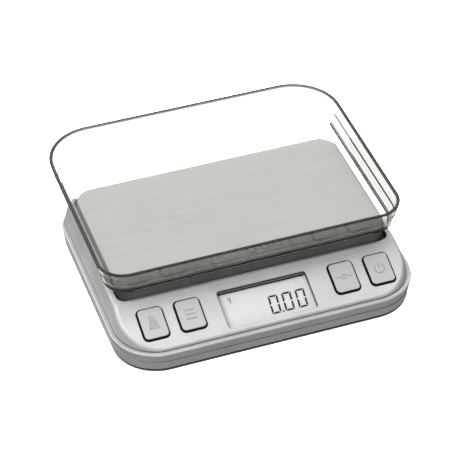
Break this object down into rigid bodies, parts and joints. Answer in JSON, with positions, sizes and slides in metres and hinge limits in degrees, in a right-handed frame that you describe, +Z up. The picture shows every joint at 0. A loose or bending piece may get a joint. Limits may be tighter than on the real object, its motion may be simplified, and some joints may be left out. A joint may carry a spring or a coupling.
{
  "type": "digital pocket scale",
  "caption": "Low silver pocket scale with a brushed weighing plate, a sloping panel of keys around a display, and its clear lid turned over as a tray.",
  "frame": {"origin": "centre of the footprint of the scale and its tray, on the surface it stands on", "axes": "+X to the right along the control panel, +Y to the back, +Z up"},
  "size_m": [0.1332, 0.1223, 0.0361],
  "materials": {
    "case_silver": "satin silver lacquer on moulded plastic",
    "case_grey": "satin silver-grey moulded plastic",
    "key_silver": "satin silver lacquer on moulded plastic",
    "black_plastic": "fine matt moulded plastic",
    "steel_plate": "brushed along its length",
    "clear_plastic": "clear polished polystyrene, faintly green at the edges",
    "rubber": "matt black rubber",
    "screw_steel": "zinc plated",
    "contact_metal": "nickel plated spring steel",
    "cell_sleeve": "plain printed sleeve with bare metal ends",
    "aluminium": "milled",
    "sealant": "white silicone rubber",
    "board_green": "solder resist on glass fibre board",
    "chip_black": "moulded epoxy",
    "small_parts": "fired ceramic chips",
    "lcd": "grey-green reflective liquid crystal glass",
    "foam": "black closed-cell foam",
    "adhesive": "white double-sided foam tape"
  },
  "bodies": {
    "case": {"base_shell": "case_grey", "top_shell": "case_silver", "rubber_feet": "rubber", "case_screws": "screw_steel", "battery_cell_left": "cell_sleeve", "battery_cell_right": "cell_sleeve", "contact_bridge": "contact_metal", "contact_negative": "contact_metal", "contact_positive": "contact_metal", "load_cell": "aluminium", "gauge_covers": "sealant", "load_cell_screws": "screw_steel", "main_board": "board_green", "board_chip": "chip_black", "board_parts": "small_parts", "board_screws": "screw_steel", "lcd_glass": "lcd", "lcd_gasket": "foam", "zebra_strips": "rubber", "switch_bodies": "black_plastic"},
    "platform": {"platform_carrier": "black_plastic", "carrier_screws": "screw_steel", "plate_adhesive": "adhesive", "platform_plate": "steel_plate"},
    "tray": {"tray": "clear_plastic"},
    "battery_door": {"battery_door": "case_grey"},
    "key_cal": {"key_cal": "key_silver", "plunger_cal": "black_plastic"},
    "key_memory": {"key_memory": "key_silver", "plunger_memory": "black_plastic"},
    "key_tare": {"key_tare": "key_silver", "plunger_tare": "black_plastic"},
    "key_power": {"key_power": "key_silver", "plunger_power": "black_plastic"}
  },
  "joints": [
    {"name": "platform_give", "type": "slide", "parent": "case", "child": "platform", "axis": [0, 0, 1], "range_m": [-0.0004, 0], "stiffness_N_per_m": 12000, "springref_m": 0.0002, "deforming": ["load_cell"]},
    {"name": "tray_lift", "type": "slide", "parent": "platform", "child": "tray", "axis": [0, 0, 1], "range_m": [0, 0.06]},
    {"name": "battery_door_swing", "type": "hinge", "parent": "case", "child": "battery_door", "pos_m": [-0.0458, 0.02125, 0.0011], "axis": [1, 0, 0], "range_deg": [0, 80]},
    {"name": "key_cal_press", "type": "slide", "parent": "case", "child": "key_cal", "axis": [0, -0.342, 0.9397], "range_m": [-0.0005, 0], "stiffness_N_per_m": 900, "springref_m": 0.0004},
    {"name": "key_memory_press", "type": "slide", "parent": "case", "child": "key_memory", "axis": [0, -0.342, 0.9397], "range_m": [-0.0005, 0], "stiffness_N_per_m": 900, "springref_m": 0.0004},
    {"name": "key_tare_press", "type": "slide", "parent": "case", "child": "key_tare", "axis": [0, -0.342, 0.9397], "range_m": [-0.0005, 0], "stiffness_N_per_m": 900, "springref_m": 0.0004},
    {"name": "key_power_press", "type": "slide", "parent": "case", "child": "key_power", "axis": [0, -0.342, 0.9397], "range_m": [-0.0005, 0], "stiffness_N_per_m": 900, "springref_m": 0.0004}
  ]
}
